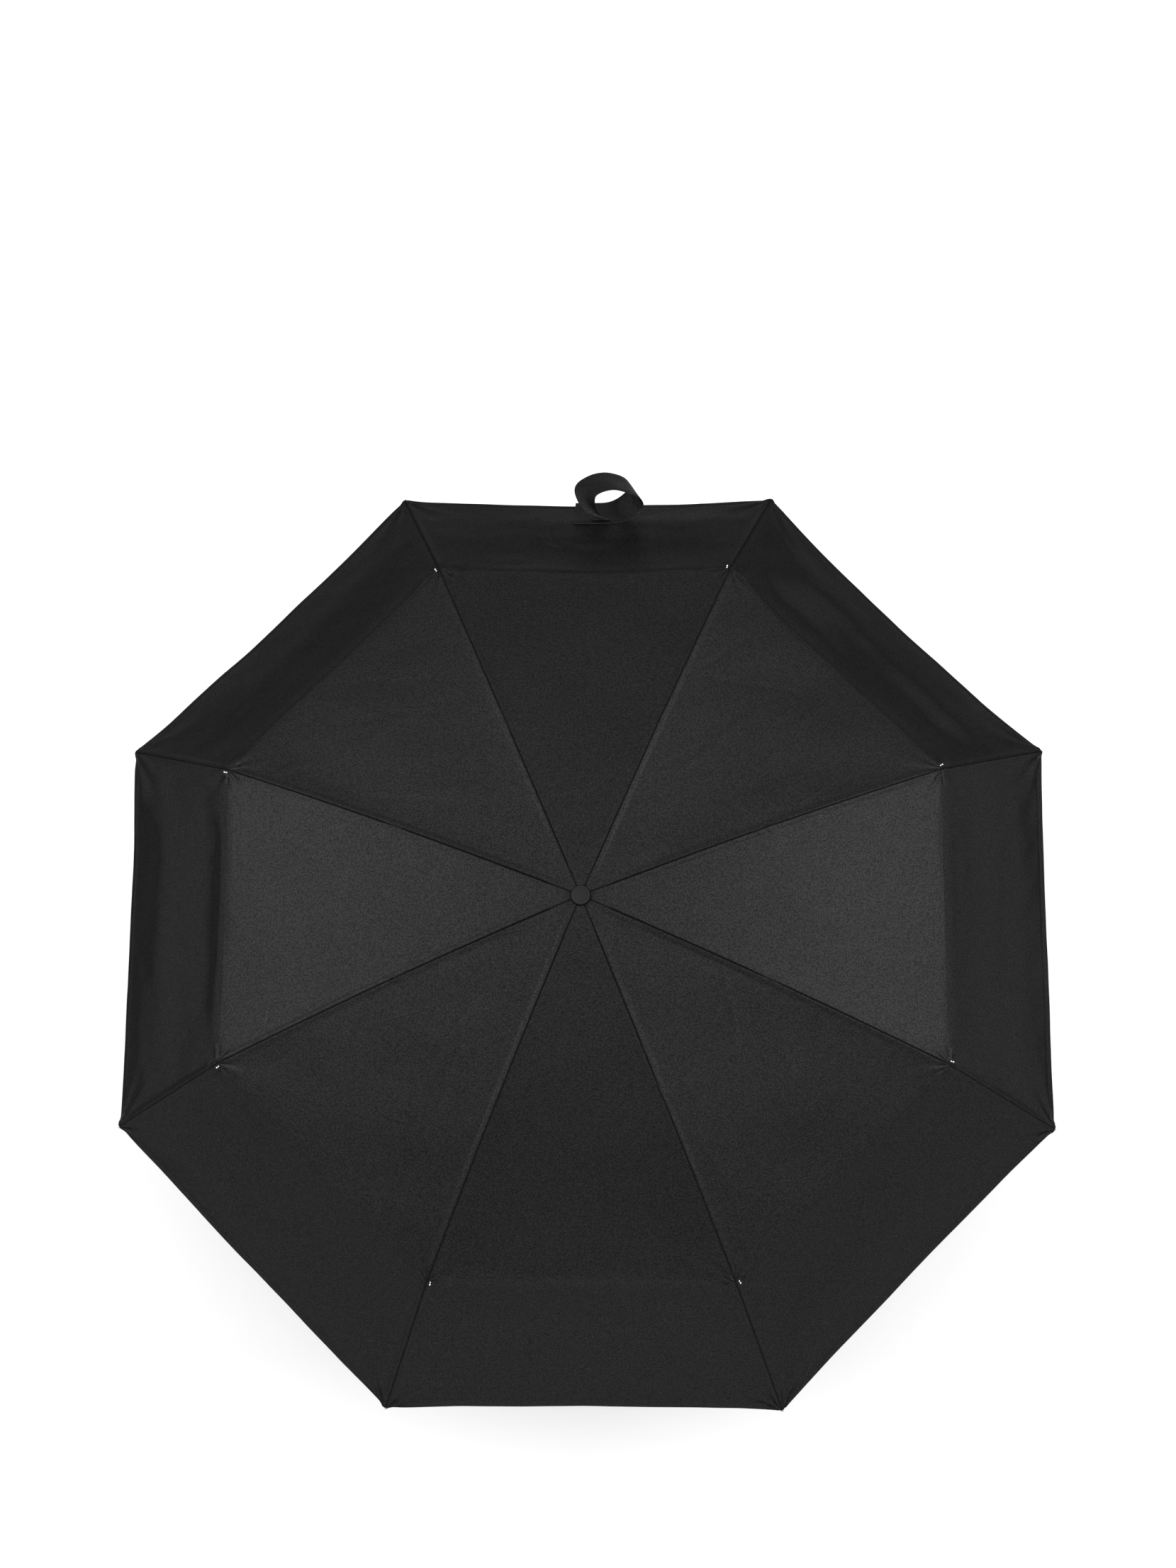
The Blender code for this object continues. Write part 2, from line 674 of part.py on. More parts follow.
def main():
    clear_scene()
    steel = material("rib_steel", (0.42, 0.42, 0.43), 0.35, 1.0)
    tip_metal = material("tip_metal", (0.55, 0.55, 0.56), 0.3, 1.0)
    shaft_steel = material("shaft_steel", (0.6, 0.6, 0.61), 0.25, 1.0)
    spring_steel = material("spring_steel", (0.35, 0.35, 0.36), 0.35, 1.0)
    black_plastic = material("black_plastic", (0.02, 0.02, 0.021), 0.45)
    button_plastic = material("button_plastic", (0.03, 0.03, 0.031), 0.5)
    cap_plastic = material("cap_plastic", (0.018, 0.018, 0.019), 0.3)
    grip_rubber = material("grip_rubber", (0.016, 0.016, 0.017), 0.7)
    cloth = material("canopy_cloth", (0.022, 0.022, 0.023), 0.75)
    webbing = material("strap_cloth", (0.02, 0.02, 0.021), 0.8)
    hook_tape = material("hook_tape", (0.015, 0.015, 0.016), 0.95)

    add_rib_chains(steel, tip_metal)
    add("crown_notch", crown_notch(), black_plastic)
    add("crown_ring", wire_ring(CROWN_HINGE[1]), spring_steel)
    add("cap_washer", cap_washer(), black_plastic)
    add("crown_cap", crown_cap(), cap_plastic)
    add("runner", runner(), black_plastic)
    add("runner_ring", wire_ring(RUNNER_HINGE[1]), spring_steel)
    add("runner_button", runner_button(), button_plastic, smooth=False)
    add("upper_tube", tube(UPPER_RADIUS, UPPER_TUBE_BOTTOM, CROWN_HINGE[1] + 2.0), shaft_steel)
    add("middle_tube", tube(MIDDLE_RADIUS, MIDDLE_TUBE_BOTTOM, MIDDLE_TUBE_TOP), shaft_steel)
    add("lower_tube", tube(LOWER_RADIUS, 13.0, LOWER_TUBE_TOP), shaft_steel)
    add("handle", handle(), grip_rubber)
    add("handle_end_cap", handle_end_cap(), black_plastic)
    add("handle_collar", handle_collar(), shaft_steel)
    add("canopy", canopy(), cloth)
    add("tie_strap", tie_strap(), webbing)
    add("strap_fastener", strap_fastener(), hook_tape, smooth=False)


main()
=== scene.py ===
"""Looks of the open folding umbrella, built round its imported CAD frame.

Lengths are millimetres and angles degrees until a mesh is made; the frame's own values are metres.
The canopy is one continuous cloth. It is worked out on one grid and then parted along the ribs, along the
middle of each panel, square to the ribs at their hinges and along the chords between outer hinges, so that
every part can follow its rib.
"""

import json
import math

import bpy
import numpy as np
from mathutils import Matrix, Vector


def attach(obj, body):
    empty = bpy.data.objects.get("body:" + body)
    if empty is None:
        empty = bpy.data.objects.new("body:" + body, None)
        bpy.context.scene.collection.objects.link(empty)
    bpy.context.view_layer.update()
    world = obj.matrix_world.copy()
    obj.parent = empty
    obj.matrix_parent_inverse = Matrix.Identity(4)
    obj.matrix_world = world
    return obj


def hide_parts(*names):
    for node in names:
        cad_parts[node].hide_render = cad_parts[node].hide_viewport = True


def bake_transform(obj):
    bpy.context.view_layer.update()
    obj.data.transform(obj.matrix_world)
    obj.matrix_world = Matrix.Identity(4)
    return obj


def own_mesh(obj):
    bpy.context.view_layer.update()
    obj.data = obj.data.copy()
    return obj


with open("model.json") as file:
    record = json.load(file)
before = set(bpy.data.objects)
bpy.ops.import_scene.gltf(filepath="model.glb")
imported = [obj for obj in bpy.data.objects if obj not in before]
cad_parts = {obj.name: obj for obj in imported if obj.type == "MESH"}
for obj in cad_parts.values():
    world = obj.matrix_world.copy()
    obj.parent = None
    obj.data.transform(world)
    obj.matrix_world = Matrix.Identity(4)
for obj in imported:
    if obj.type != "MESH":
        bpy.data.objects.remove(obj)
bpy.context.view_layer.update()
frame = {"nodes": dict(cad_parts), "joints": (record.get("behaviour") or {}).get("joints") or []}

MM = 0.001
RIBS = 8
HALF_STEP = 22.5
TOP_SLOPE, MID_SLOPE, OUTER_SLOPE = 11.0, 19.0, 43.5
KNEE_SLOPE = (TOP_SLOPE + MID_SLOPE) / 2
ELBOW_SLOPE = (MID_SLOPE + OUTER_SLOPE) / 2

# Camera, in metres and degrees
LOOK_AT = Vector((0, 0, 0.445))
CAMERA_AZIMUTH, CAMERA_ELEVATION, CAMERA_ROLL = 7.12, 79.66, -6.98
CAMERA_DISTANCE = 1.949
LENS = 48.12
SHIFT = (0.0032, 0.0835)

# Floor, in metres
FLOOR_SIZE = 30.0
FLOOR_DROP = 0.001

# Cloth grid. The columns are closest at the seams, and the rows at the elbow's chord. The cloth lies LIFT
# over the frame, its seat round the cap ends at radius CROWN_END, and its hem lies HEM_Q beyond the elbow.
LIFT = 0.35
HALF_COLUMNS = 44
COLUMN_POWER = 1.7
ROW_POWER = 1.3
ROWS = {"crown": 10, "top": 56, "mid": 76, "bend": 14, "outer": 40, "hem": 8, "turned": 4}
CROWN_END = 24.0
HEM_Q = 175.5
HEM = 9.0
HEM_STITCH = HEM - 1.5
HEM_GAP = 0.5

# The corner at the elbow: the cloth's slope before it, how far along the rib it is rounded on average, at a
# seam and in the panel, and how far from the seam the change takes
ELBOW_IN_SLOPE = 23.0
HINGE_BEND = 8.0
SEAM_BEND, PANEL_BEND, BEND_REACH = 5.0, 10.0, 50.0

# The cloth's line over a rib: its inner edge and the edge of its seat under the cap, and its height there,
# over the notch's shoulder, the knee and the elbow, each from the nearest hinge
SEAT_START, SEAT_END = 4.6, 9.2
SEAT_HEIGHT, SHOULDER_HEIGHT, KNEE_HEIGHT, ELBOW_HEIGHT = 5.1, 6.2, 2.0, 4.3
SHOULDER_ALONG = 6.0
SHOULDER_SLOPE, KNEE_IN_SLOPE = 7.5, 14.9

# How the cloth hangs between the ribs. SAG is a share of the radius, and each panel has its own share of it.
SAG = 0.012
SAG_OF_PANEL = (1.06, 0.88, 0.5, 0.2, -0.4, 0.36, 0.26, 0.15)
SEAM_DEPTH = 0.75
SEAM_HALF_WIDTH = 0.8
SEAM_START, SEAM_FADE = 16.0, 14.0
FIXING_REACH = 9.0
ALLOWANCE_WIDTH, ALLOWANCE_HEIGHT = 6.0, 0.35
# CAP_SHADE_RADIUS and CAP_SHADE_FADE place a painted shadow: the cloth is darkened within this radius of the
# middle, fading over this width.
CAP_SHADE_RADIUS, CAP_SHADE_FADE = 10.4, 1.2
RELIEF_SEED = 400

# How high each half panel's seam lies over its rib's hinge, and the slope against which its pleat leans;
# gather() is handed these and does not use them
SEAM_OVER_CROWN, SEAM_OVER_KNEE, SEAM_OVER_ELBOW = 7.2, 2.1, 4.5
TOP_LEAN, MID_LEAN = 13.0, 20.0

LEAST_SIDE = 0.01

# Small things on the cloth
PATCH_WIDTH, PATCH_LENGTH = 13.0, 26.0
PATCH_HEIGHT = 3.85
STUD_ASIDE, STUD_HEIGHT = 3.6, 2.6
STUD_PROFILE = [
    (0.02, -0.75), (0.40, -0.70), (0.68, -0.42), (0.82, 0.0),
    (0.74, 0.4), (0.50, 0.68), (0.18, 0.8), (0.02, 0.82),
]
SECOND_STUD_SCALE = 0.85

# Tie strap: stations are (right, off the cloth, up the slope) of its two edges, from the hem's middle. Lines
# of stitches run EDGE_STITCH inside each edge, and across at each STRAP_SEWN, from the far end if negative.
STRAP_RIB = 1
STRAP_PANEL = 1
STRAP_HALF_THICKNESS, TAPE_HALF_THICKNESS = 0.5, 0.4
STRAP_CLEARANCE = 0.6
EDGE_STITCH = 2.4
STRAP_SEWN = (2.4, -2.0, -4.5)
STRAP_STATIONS = [
    ((-12, 1.5, 1), (-14, 1.5, 54)), ((8, 1.5, 1), (7, 1.5, 54)), ((20, 2.2, 1), (25, 1.5, 53)),
    ((29, 5.5, 1), (38, 2.0, 50)), ((36, 10.5, 1), (48.5, 5.5, 47)), ((41, 16, 1), (55, 12, 46)),
    ((43, 21, 1), (57, 19, 46)), ((39, 27.5, 1), (52, 26.5, 46)), ((31, 32, 1), (41, 31, 46)),
    ((19, 34.5, 1), (29, 34, 46)), ((7, 33, 1), (20, 33, 46)), ((-4, 28, 1), (12.5, 30, 46)),
    ((-11, 22, 1), (9, 26, 45)), ((-13, 16.5, 6), (8.5, 20, 45)), ((-10, 11.5, 18), (10.5, 14, 46)),
    ((-4, 7.5, 32), (14.5, 9.5, 48)), ((1.5, 5.4, 42), (20, 6.0, 50)), ((7.5, 4.4, 51), (25, 4.4, 52.5)),
]
TAPE_STATIONS = [((4, 2.9, 44), (18.5, 2.9, 48.5)), ((8, 2.9, 50), (23.5, 2.9, 51))]


def rotate(angle, x, z):
    """(out, up) of a step x along and z off a line that slopes angle below level."""
    a = math.radians(angle)
    return x * math.cos(a) + z * math.sin(a), -x * math.sin(a) + z * math.cos(a)


def step(start, angle, x, z):
    """The point x along and z off a line through start that slopes angle below level."""
    out, up = rotate(angle, x, z)
    return start[0] + out, start[1] + up


def hinge(joint):
    """(radius, height) of a rib hinge, from the frame."""
    x, y, z = next(j["pos_m"] for j in frame["joints"] if j["name"] == joint)
    return math.hypot(x, y) / MM, z / MM


CROWN = hinge("canopy_fold")
KNEE = hinge("mid_rib_1_fold")
ELBOW = hinge("outer_rib_1_fold")


def rib_azimuth(i):
    return HALF_STEP * (2 * i + 1)


def smooth(x):
    x = np.clip(x, 0, 1)
    return x * x * (3 - 2 * x)


# Materials


def material(name, colour, roughness, metallic=0.0, specular=0.5):
    made = bpy.data.materials.new(name)
    made.use_nodes = True
    shader = made.node_tree.nodes["Principled BSDF"]
    shader.inputs["Base Color"].default_value = (*colour, 1)
    shader.inputs["Roughness"].default_value = roughness
    shader.inputs["Metallic"].default_value = metallic
    shader.inputs["Specular IOR Level"].default_value = specular
    return made, shader


def node(made, kind):
    return made.node_tree.nodes.new(kind)


def link(made, a, b):
    made.node_tree.links.new(a, b)


def place(made, scale):
    """Object coordinates, stretched by scale."""
    source = node(made, "ShaderNodeTexCoord")
    mapping = node(made, "ShaderNodeMapping")
    mapping.inputs["Scale"].default_value = scale
    link(made, source.outputs["Object"], mapping.inputs["Vector"])
    return mapping.outputs["Vector"]


def noise(made, where, scale, detail=3.0, roughness=0.55):
    new = node(made, "ShaderNodeTexNoise")
    new.inputs["Scale"].default_value = scale
    new.inputs["Detail"].default_value = detail
    new.inputs["Roughness"].default_value = roughness
    link(made, where, new.inputs["Vector"])
    return new.outputs["Fac"]


def wave(made, where, scale, direction, distortion=0.0):
    new = node(made, "ShaderNodeTexWave")
    new.wave_type = "BANDS"
    new.bands_direction = direction
    new.inputs["Scale"].default_value = scale
    new.inputs["Distortion"].default_value = distortion
    link(made, where, new.inputs["Vector"])
    return new.outputs["Fac"]


def spread(made, value, low, high, start=0.0, end=1.0):
    """value remapped from start..end to low..high."""
    new = node(made, "ShaderNodeMapRange")
    new.inputs["From Min"].default_value = start
    new.inputs["From Max"].default_value = end
    new.inputs["To Min"].default_value = low
    new.inputs["To Max"].default_value = high
    link(made, value, new.inputs["Value"])
    return new.outputs["Result"]


def tint(made, value, dark, light):
    new = node(made, "ShaderNodeMix")
    new.data_type = "RGBA"
    low, high = (s for s in new.inputs if s.type == "RGBA")
    low.default_value = (*dark, 1)
    high.default_value = (*light, 1)
    link(made, value, new.inputs["Factor"])
    return next(s for s in new.outputs if s.type == "RGBA")


def arithmetic(made, operation, a, b):
    new = node(made, "ShaderNodeMath")
    new.operation = operation
    for socket, value in zip(new.inputs, (a, b)):
        if isinstance(value, (int, float)):
            socket.default_value = value
        else:
            link(made, value, socket)
    return new.outputs["Value"]


def plus(made, a, b):
    return arithmetic(made, "ADD", a, b)


def times(made, a, b):
    return arithmetic(made, "MULTIPLY", a, b)


def bump(made, shader, height, strength, distance):
    new = node(made, "ShaderNodeBump")
    new.inputs["Strength"].default_value = strength
    new.inputs["Distance"].default_value = distance
    link(made, height, new.inputs["Height"])
    link(made, new.outputs["Normal"], shader.inputs["Normal"])


def fold_lines(made, where):
    """A sparse net of fine straight lines, left in the cloth by folding it away."""
    cells = node(made, "ShaderNodeTexVoronoi")
    cells.feature = "DISTANCE_TO_EDGE"
    cells.inputs["Scale"].default_value = 13.0
    link(made, where, cells.inputs["Vector"])
    lines = spread(made, cells.outputs["Distance"], 1.0, 0.0, 0.0, 0.014)
    shown = spread(made, noise(made, where, 11.0, 1.0), 0.0, 1.0, 0.52, 0.62)
    return times(made, lines, shown)


def cloth_material(name, dark, light, roughness, specular, sheen, thread, gloss_along=0.05):
    """Plain-weave cloth: crossed threads, fine uneven yarn, slow changes of tone, and dull dark painted
    shade at seams.

    The threads hide each other seen along the cloth, so the gloss fades there.
    """
    made, shader = material(name, dark, roughness, specular=specular)
    shader.inputs["Sheen Weight"].default_value = sheen
    shader.inputs["Sheen Roughness"].default_value = 0.45
    where = place(made, (1, 1, 1))
    warp, weft = (wave(made, where, thread, direction, 0.6) for direction in ("X", "Y"))
    threads = times(made, warp, weft)
    slubs = noise(made, where, 760, 1.0)
    slow = noise(made, where, 7.0, 3.0)
    tone = plus(made, times(made, slubs, 0.75), times(made, slow, 0.25))
    # The seam attribute is a mask of painted shade: where it is 1, in the seam grooves and round the cap,
    # the colour is darkened and the gloss cut.
    seam = node(made, "ShaderNodeAttribute")
    seam.attribute_name = "seam"
    away = spread(made, seam.outputs["Fac"], 1.0, 0.12)
    tone = times(made, spread(made, tone, 0, 1, 0.35, 0.65), away)
    link(made, tint(made, tone, dark, light), shader.inputs["Base Color"])
    facing = node(made, "ShaderNodeLayerWeight").outputs["Facing"]
    gloss = spread(made, slubs, specular * 0.62, specular * 1.38, 0.36, 0.64)
    gloss = times(made, gloss, spread(made, facing, 1.0, gloss_along, 0.2, 0.53))
    link(made, times(made, gloss, away), shader.inputs["Specular IOR Level"])
    link(made, spread(made, slow, roughness - 0.04, roughness + 0.05, 0.3, 0.7), shader.inputs["Roughness"])
    height = plus(made, threads, times(made, slubs, 0.8))
    height = plus(made, height, times(made, fold_lines(made, where), 5.0))
    bump(made, shader, height, 0.16, 0.0003)
    return made


def plastic_material(name, colour, roughness, specular, grain=900.0, depth=0.12, edge_lightening=0.003):
    """Moulded plastic with a fine grain, and edges that are a little lighter."""
    made, shader = material(name, colour, roughness, specular=specular)
    where = place(made, (1, 1, 1))
    fine = noise(made, where, grain, 2.0)
    broad = noise(made, where, 40.0, 4.0)
    # Convex edges, found by pointiness, are tinted toward a lighter colour.
    pale = tuple(min(1.0, c * 1.7 + edge_lightening) for c in colour)
    geometry = node(made, "ShaderNodeNewGeometry")
    edge = spread(made, geometry.outputs["Pointiness"], 0.0, 0.6, 0.52, 0.62)
    tone = plus(made, times(made, broad, 0.4), edge)
    link(made, tint(made, tone, colour, pale), shader.inputs["Base Color"])
    rough = spread(made, broad, roughness - 0.06, roughness + 0.08, 0.3, 0.7)
    link(made, rough, shader.inputs["Roughness"])
    bump(made, shader, fine, depth, 0.0002)
    return made


def metal_material(name, colour, roughness, stretch, depth=0.1):
    """Plated or drawn metal with fine lines along one axis and slight tarnish."""
    made, shader = material(name, colour, roughness, metallic=1.0)
    lines = noise(made, place(made, stretch), 260.0, 3.0)
    broad = noise(made, place(made, (1, 1, 1)), 22.0, 4.0)
    dull = tuple(c * 0.72 for c in colour)
    link(made, tint(made, spread(made, broad, 0, 1, 0.3, 0.7), dull, colour), shader.inputs["Base Color"])
    rough = plus(made, times(made, lines, 0.16), times(made, broad, 0.12))
    link(made, plus(made, rough, roughness - 0.14), shader.inputs["Roughness"])
    bump(made, shader, lines, depth, 0.0002)
    return made


def rubber_material(name, colour):
    """Soft-touch grip with a fine cross-hatched texture."""
    made, shader = material(name, colour, 0.62, specular=0.35)
    where = place(made, (1, 1, 1))
    broad = noise(made, where, 30.0, 4.0)
    pale = tuple(c * 1.8 + 0.004 for c in colour)
    hatch = times(made, wave(made, where, 380, "DIAGONAL"), wave(made, where, 420, "Z"))
    link(made, tint(made, broad, colour, pale), shader.inputs["Base Color"])
    link(made, spread(made, broad, 0.55, 0.72, 0.3, 0.7), shader.inputs["Roughness"])
    bump(made, shader, plus(made, hatch, noise(made, where, 700, 2.0)), 0.25, 0.0003)
    return made


CLOTH = cloth_material(
    "canopy_weave", dark=(0.0030, 0.0030, 0.0031), light=(0.0068, 0.0068, 0.0070),
    roughness=0.45, specular=0.15, sheen=0.0, thread=900)
WEBBING = cloth_material(
    "strap_weave", dark=(0.0040, 0.0040, 0.0041), light=(0.0090, 0.0090, 0.0092),
    roughness=0.5, specular=0.2, sheen=0.0, thread=900, gloss_along=0.06)
TAPE = cloth_material(
    "hook_pile", dark=(0.0030, 0.0030, 0.0032), light=(0.0080, 0.0080, 0.0082),
    roughness=0.85, specular=0.1, sheen=0.02, thread=300)
RIB_STEEL = metal_material("rib_plating", (0.42, 0.42, 0.43), 0.34, (1, 1, 14))
TIP_METAL = metal_material("tip_plating", (0.55, 0.55, 0.56), 0.30, (1, 1, 1))
SHAFT_STEEL = metal_material("shaft_plating", (0.60, 0.60, 0.61), 0.22, (14, 14, 0.6), 0.06)
SPRING_STEEL = metal_material("drawn_wire", (0.35, 0.35, 0.36), 0.34, (4, 4, 4))
STUD_METAL = metal_material("stud_plating", (0.92, 0.92, 0.93), 0.24, (3, 3, 3), 0.02)
WASHER_PLASTIC = plastic_material("washer_moulding", (0.0016, 0.0016, 0.0017), 0.8, 0.02)
BLACK_PLASTIC = plastic_material("black_moulding", (0.020, 0.020, 0.021), 0.45, 0.4)
BUTTON_PLASTIC = plastic_material("button_moulding", (0.030, 0.030, 0.031), 0.5, 0.4)
# The cap's edges are coloured much lighter than its face.
CAP_PLASTIC = plastic_material(
    "cap_moulding", (0.0052, 0.0052, 0.0054), 0.45, 0.09, grain=1200.0, depth=0.06, edge_lightening=0.03)
GRIP = rubber_material("grip_rubber", (0.016, 0.016, 0.017))

NODE_LOOKS = {
    "handle": GRIP, "handle_end_cap": BLACK_PLASTIC, "handle_collar": SHAFT_STEEL,
    "lower_tube": SHAFT_STEEL, "middle_tube": SHAFT_STEEL, "upper_tube": SHAFT_STEEL,
    "crown_notch": BLACK_PLASTIC, "crown_ring": SPRING_STEEL, "cap_washer": WASHER_PLASTIC,
    "crown_cap": CAP_PLASTIC, "runner": BLACK_PLASTIC, "runner_ring": SPRING_STEEL,
    "runner_button": BUTTON_PLASTIC, "strap_fastener": TAPE, "canopy": CLOTH, "tie_strap": WEBBING,
}


def look_of(name):
    if name in NODE_LOOKS:
        return NODE_LOOKS[name]
    return TIP_METAL if name.startswith("rib_tip") else RIB_STEEL


for name, thing in frame["nodes"].items():
    for slot in thing.material_slots:
        slot.link = "OBJECT"
        slot.material = look_of(name)


# Meshes


def new_piece(name, points, faces, look, normals=None, seam=None):
    """An object from points in millimetres. seam is a painted-shade mask: 1 in a seam's groove and round the
    cap, falling to 0 away from them.
    """
    mesh = bpy.data.meshes.new(name)
    mesh.from_pydata([tuple(p) for p in np.asarray(points) * MM], [], [tuple(f) for f in faces])
    mesh.update()
    mesh.materials.append(look)
    mesh.shade_smooth()
    if seam is not None:
        stitched = mesh.attributes.new("seam", "FLOAT", "POINT")
        stitched.data.foreach_set("value", np.asarray(seam, np.float32))
    if normals is not None:
        mesh.normals_split_custom_set_from_vertices([tuple(n) for n in normals])
    thing = bpy.data.objects.new(name, mesh)
    bpy.context.scene.collection.objects.link(thing)
    return thing


def merged(parts):
    """Several (points, faces) as one."""
    points, faces, count = [], [], 0
    for part_points, part_faces in parts:
        points.extend(part_points)
        faces.extend([tuple(i + count for i in face) for face in part_faces])
        count += len(part_points)
    return np.array(points, float), faces


def tube(path, radii, sides=8):
    """A capped round tube along a path of points, with a radius at each."""
    path = np.asarray(path, float)
    radii = np.broadcast_to(np.asarray(radii, float), len(path))
    runs = np.gradient(path, axis=0)
    runs /= np.linalg.norm(runs, axis=1)[:, None]
    guide = np.array((0, 0, 1.0)) if abs(runs[0][2]) < 0.9 else np.array((1.0, 0, 0))
    points, faces = [], []
    for at, run, radius in zip(path, runs, radii):
        side = np.cross(run, guide)
        side /= np.linalg.norm(side)
        guide = np.cross(side, run)
        for k in range(sides):
            t = 2 * math.pi * k / sides
            points.append(at + radius * (side * math.cos(t) + guide * math.sin(t)))
    for r in range(len(path) - 1):
        for k in range(sides):
            j = (k + 1) % sides
            faces.append((r * sides + k, r * sides + j, (r + 1) * sides + j, (r + 1) * sides + k))
    faces.append(tuple(range(sides))[::-1])
    faces.append(tuple(range((len(path) - 1) * sides, len(path) * sides)))
    return points, faces


# Cloth line over a rib: q is the distance along it from the elbow, negative toward the crown


def hermite(start, end, slope_in, slope_out, steps):
    """A smooth line between two points, given its slopes below level at both."""
    a, b = np.array(start), np.array(end)
    reach = np.linalg.norm(b - a)
    ta = reach * np.array(rotate(slope_in, 1, 0))
    tb = reach * np.array(rotate(slope_out, 1, 0))
    t = np.linspace(0, 1, steps + 1)[:, None]
    return ((2 * t**3 - 3 * t**2 + 1) * a + (t**3 - 2 * t**2 + t) * ta
            + (3 * t**2 - 2 * t**3) * b + (t**3 - t**2) * tb)


def inner_line():
    """The cloth's line from the seat under the cap, over the notch and the knee, to the elbow."""
    seat = CROWN[1] + SEAT_HEIGHT + LIFT
    shoulder = step(CROWN, TOP_SLOPE, SHOULDER_ALONG, SHOULDER_HEIGHT + LIFT)
    knee = step(KNEE, KNEE_SLOPE, 0.0, KNEE_HEIGHT + LIFT)
    elbow = step(ELBOW, ELBOW_SLOPE, 0.0, ELBOW_HEIGHT + LIFT)
    stops = [
        ((SEAT_START, seat), 0.0), ((SEAT_END, seat), 0.0),
        (shoulder, SHOULDER_SLOPE), (knee, KNEE_IN_SLOPE), (elbow, ELBOW_IN_SLOPE),
    ]
    pieces = [np.array([stops[0][0]])]
    for (a, slope_a), (b, slope_b) in zip(stops, stops[1:]):
        pieces.append(hermite(a, b, slope_a, slope_b, 60)[1:])
    return np.concatenate(pieces)


INNER = inner_line()
INNER_RUN = np.concatenate([[0], np.cumsum(np.linalg.norm(np.diff(INNER, axis=0), axis=1))])
INNER_RUN -= INNER_RUN[-1]
OUT = np.array(rotate(OUTER_SLOPE, 1, 0))
IN = np.array(rotate(ELBOW_IN_SLOPE, 1, 0))
KNEE_Q = float(np.interp(KNEE[0], INNER[:, 0], INNER_RUN))
CROWN_Q = float(np.interp(CROWN_END, INNER[:, 0], INNER_RUN))
START_Q = float(INNER_RUN[0])
CHORD_SHARE = 2 * math.sin(math.radians(HALF_STEP))


def rib_line(q, bend):
    """(radius, height, slope in radians) at q, with the corner at the elbow rounded over bend."""
    q = np.asarray(q, float)
    r = np.interp(q, INNER_RUN, INNER[:, 0])
    z = np.interp(q, INNER_RUN, INNER[:, 1])
    slope_in = np.interp(q, INNER_RUN, np.arctan2(-np.gradient(INNER[:, 1]), np.gradient(INNER[:, 0])))
    beyond = np.maximum(q, 0)
    r = r + beyond * OUT[0]
    z = z + beyond * OUT[1]
    short = np.clip(bend - np.abs(q), 0, None) ** 2 / (4 * bend)
    r = r + short * (OUT[0] - IN[0])
    z = z + short * (OUT[1] - IN[1])
    share = np.clip((q + bend) / (2 * bend), 0, 1)
    slope = slope_in * (1 - share) + math.radians(OUTER_SLOPE) * share
    return r, z, slope


def square_cut(q_of_hinge, slope):
    """For each column, the q at which the cloth crosses the plane square to a rib at one of its hinges."""
    hinge_r, hinge_z, _ = rib_line(q_of_hinge, HINGE_BEND)
    q = np.linspace(START_Q, HEM_Q, 3000)
    r, z, _ = rib_line(q, HINGE_BEND)
    c, s = math.cos(math.radians(slope)), math.sin(math.radians(slope))
    cuts = []
    for share in half_shares():
        along_rib = r * (1 - share * (1 - math.cos(math.radians(2 * HALF_STEP))))
        ahead = (along_rib - hinge_r) * c + (hinge_z - z) * s
        cuts.append(float(np.interp(0.0, ahead, q)))
    return np.array(cuts)


def half_shares():
    """Each column's share of the panel's width, from its rib to the middle."""
    return 0.5 * (np.arange(HALF_COLUMNS + 1) / HALF_COLUMNS) ** COLUMN_POWER


def row_places():
    """q of every row for each half-panel column, with the extra rows that turn the hem under."""
    knee = square_cut(KNEE_Q, KNEE_SLOPE)
    elbow = square_cut(0.0, OUTER_SLOPE)
    start, crown_end, chord = (np.full_like(knee, q) for q in (START_Q, CROWN_Q, 0.0))
    hem_start, hem_end = (np.full_like(knee, q) for q in (HEM_Q - HEM, HEM_Q))
    steps = {
        "crown": (start, crown_end), "top": (crown_end, knee), "mid": (knee, chord),
        "bend": (chord, elbow), "outer": (elbow, hem_start), "hem": (hem_start, hem_end),
    }
    rows, ends = [start], {}
    for section, (first, last) in steps.items():
        shares = np.arange(1, ROWS[section] + 1) / ROWS[section]
        if section == "mid":
            shares = 1 - (1 - shares) ** ROW_POWER
        if section == "bend":
            shares = shares ** ROW_POWER
        rows += [first + (last - first) * share for share in shares]
        ends[section] = len(rows) - 1
    under = [0.0] * len(rows)
    for k in range(1, ROWS["turned"] + 1):
        rows.append(np.full_like(knee, HEM_Q - HEM_STITCH * k / ROWS["turned"]))
        under.append(HEM_GAP)
    return np.array(rows), np.array(under), ends


# What the cloth does between the ribs


def wandering(rng, x, y, low, high, count):
    """Slow waves of wavelength low to high."""
    total = np.zeros_like(x)
    for _ in range(count):
        angle, length, phase = rng.uniform(0, math.pi), rng.uniform(low, high), rng.uniform(0, 2 * math.pi)
        total += np.sin(2 * math.pi * (x * math.cos(angle) + y * math.sin(angle)) / length + phase)
    return total / math.sqrt(count)


